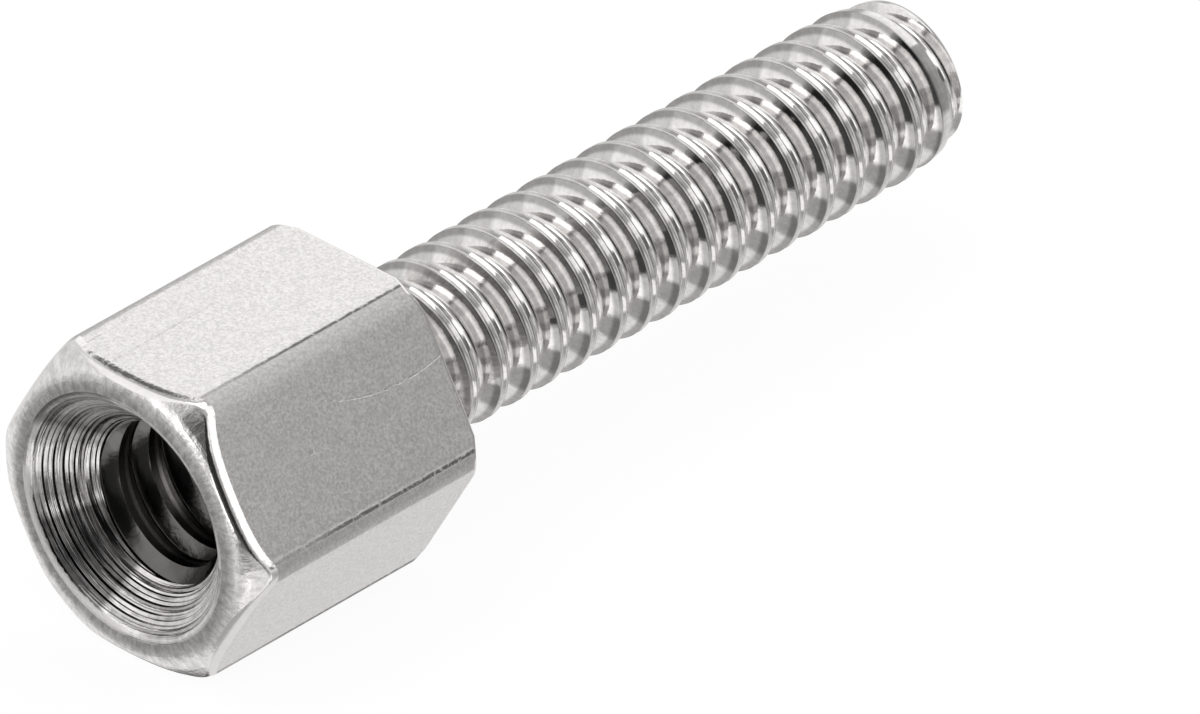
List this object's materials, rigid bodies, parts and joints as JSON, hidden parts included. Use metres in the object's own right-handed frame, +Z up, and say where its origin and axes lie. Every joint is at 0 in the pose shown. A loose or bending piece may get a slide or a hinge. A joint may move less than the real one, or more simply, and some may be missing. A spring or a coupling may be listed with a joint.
{
  "type": "hex standoff",
  "caption": "Male-female threaded hex standoff: a short hexagonal body with a countersunk tapped hole in one end and a long threaded stud on the other.",
  "frame": {"origin": "under the middle of the standoff's length, on the surface that its lowest flat lies on", "axes": "+X along the axis from the tapped end to the stud's tip, +Z up and square to the flat that it lies on"},
  "size_m": [0.0166, 0.0054, 0.0048],
  "materials": {
    "bright_nickel_plate": "bright nickel plate: satin on the drawn flats, polished on the stud's thread"
  },
  "bodies": {
    "root": {"standoff": "bright_nickel_plate"}
  },
  "joints": []
}
